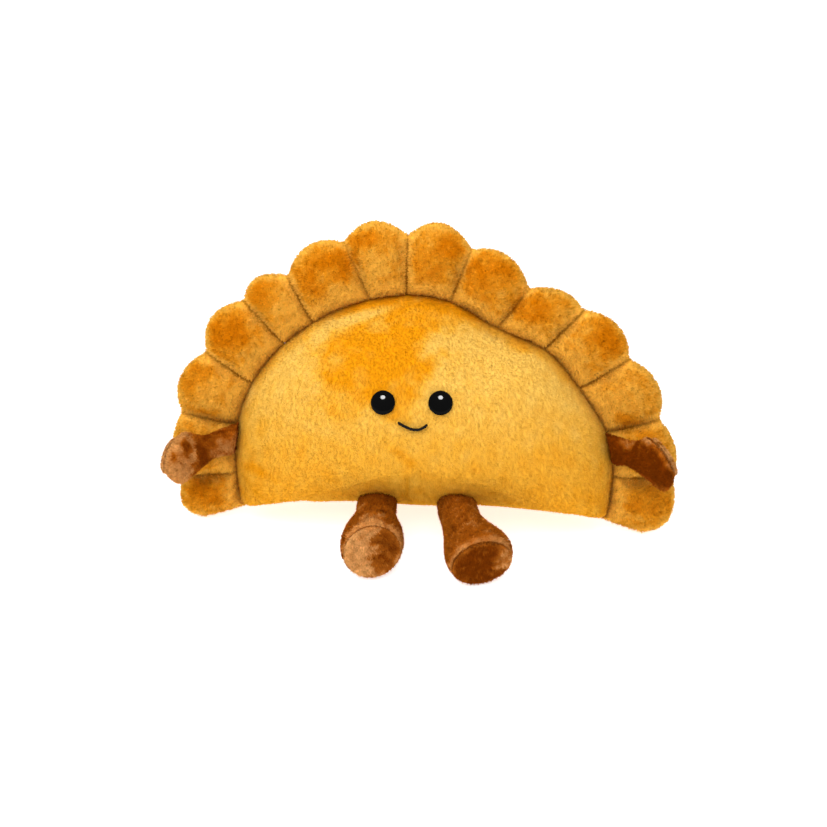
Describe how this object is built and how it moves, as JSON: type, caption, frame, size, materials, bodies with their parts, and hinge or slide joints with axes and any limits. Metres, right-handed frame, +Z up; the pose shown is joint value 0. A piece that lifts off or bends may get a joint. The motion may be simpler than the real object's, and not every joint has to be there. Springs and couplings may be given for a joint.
{
  "type": "stuffed toy empanada",
  "caption": "Plush half-moon pastry toy that sits leaning back, with a puffed scalloped crust, stubby arms and legs, glossy dome eyes and a stitched smile.",
  "frame": {"origin": "on the floor under the middle of the whole toy's box", "axes": "+Z up, -Y the way the face looks, +X to the right seen from the front and along the toy's width"},
  "size_m": [0.3061, 0.1517, 0.1782],
  "materials": {
    "golden_plush": "short dense plush pile, golden yellow with darker patches where the pile lies the other way",
    "baked_plush": "short dense plush pile, deeper baked orange",
    "brown_plush": "short dense plush pile, chestnut brown",
    "tan_plush": "short dense plush pile, lighter brown end pieces",
    "black_plastic": "polished black domes",
    "black_thread": "dull black sewing thread"
  },
  "bodies": {
    "root": {"body": "golden_plush", "crust": "baked_plush", "arm_left": "brown_plush", "arm_right": "brown_plush", "hand_left": "tan_plush", "hand_right": "tan_plush", "leg_left": "brown_plush", "leg_right": "brown_plush", "sole_left": "tan_plush", "sole_right": "tan_plush", "eye_left": "black_plastic", "eye_right": "black_plastic", "smile": "black_thread"}
  },
  "joints": []
}
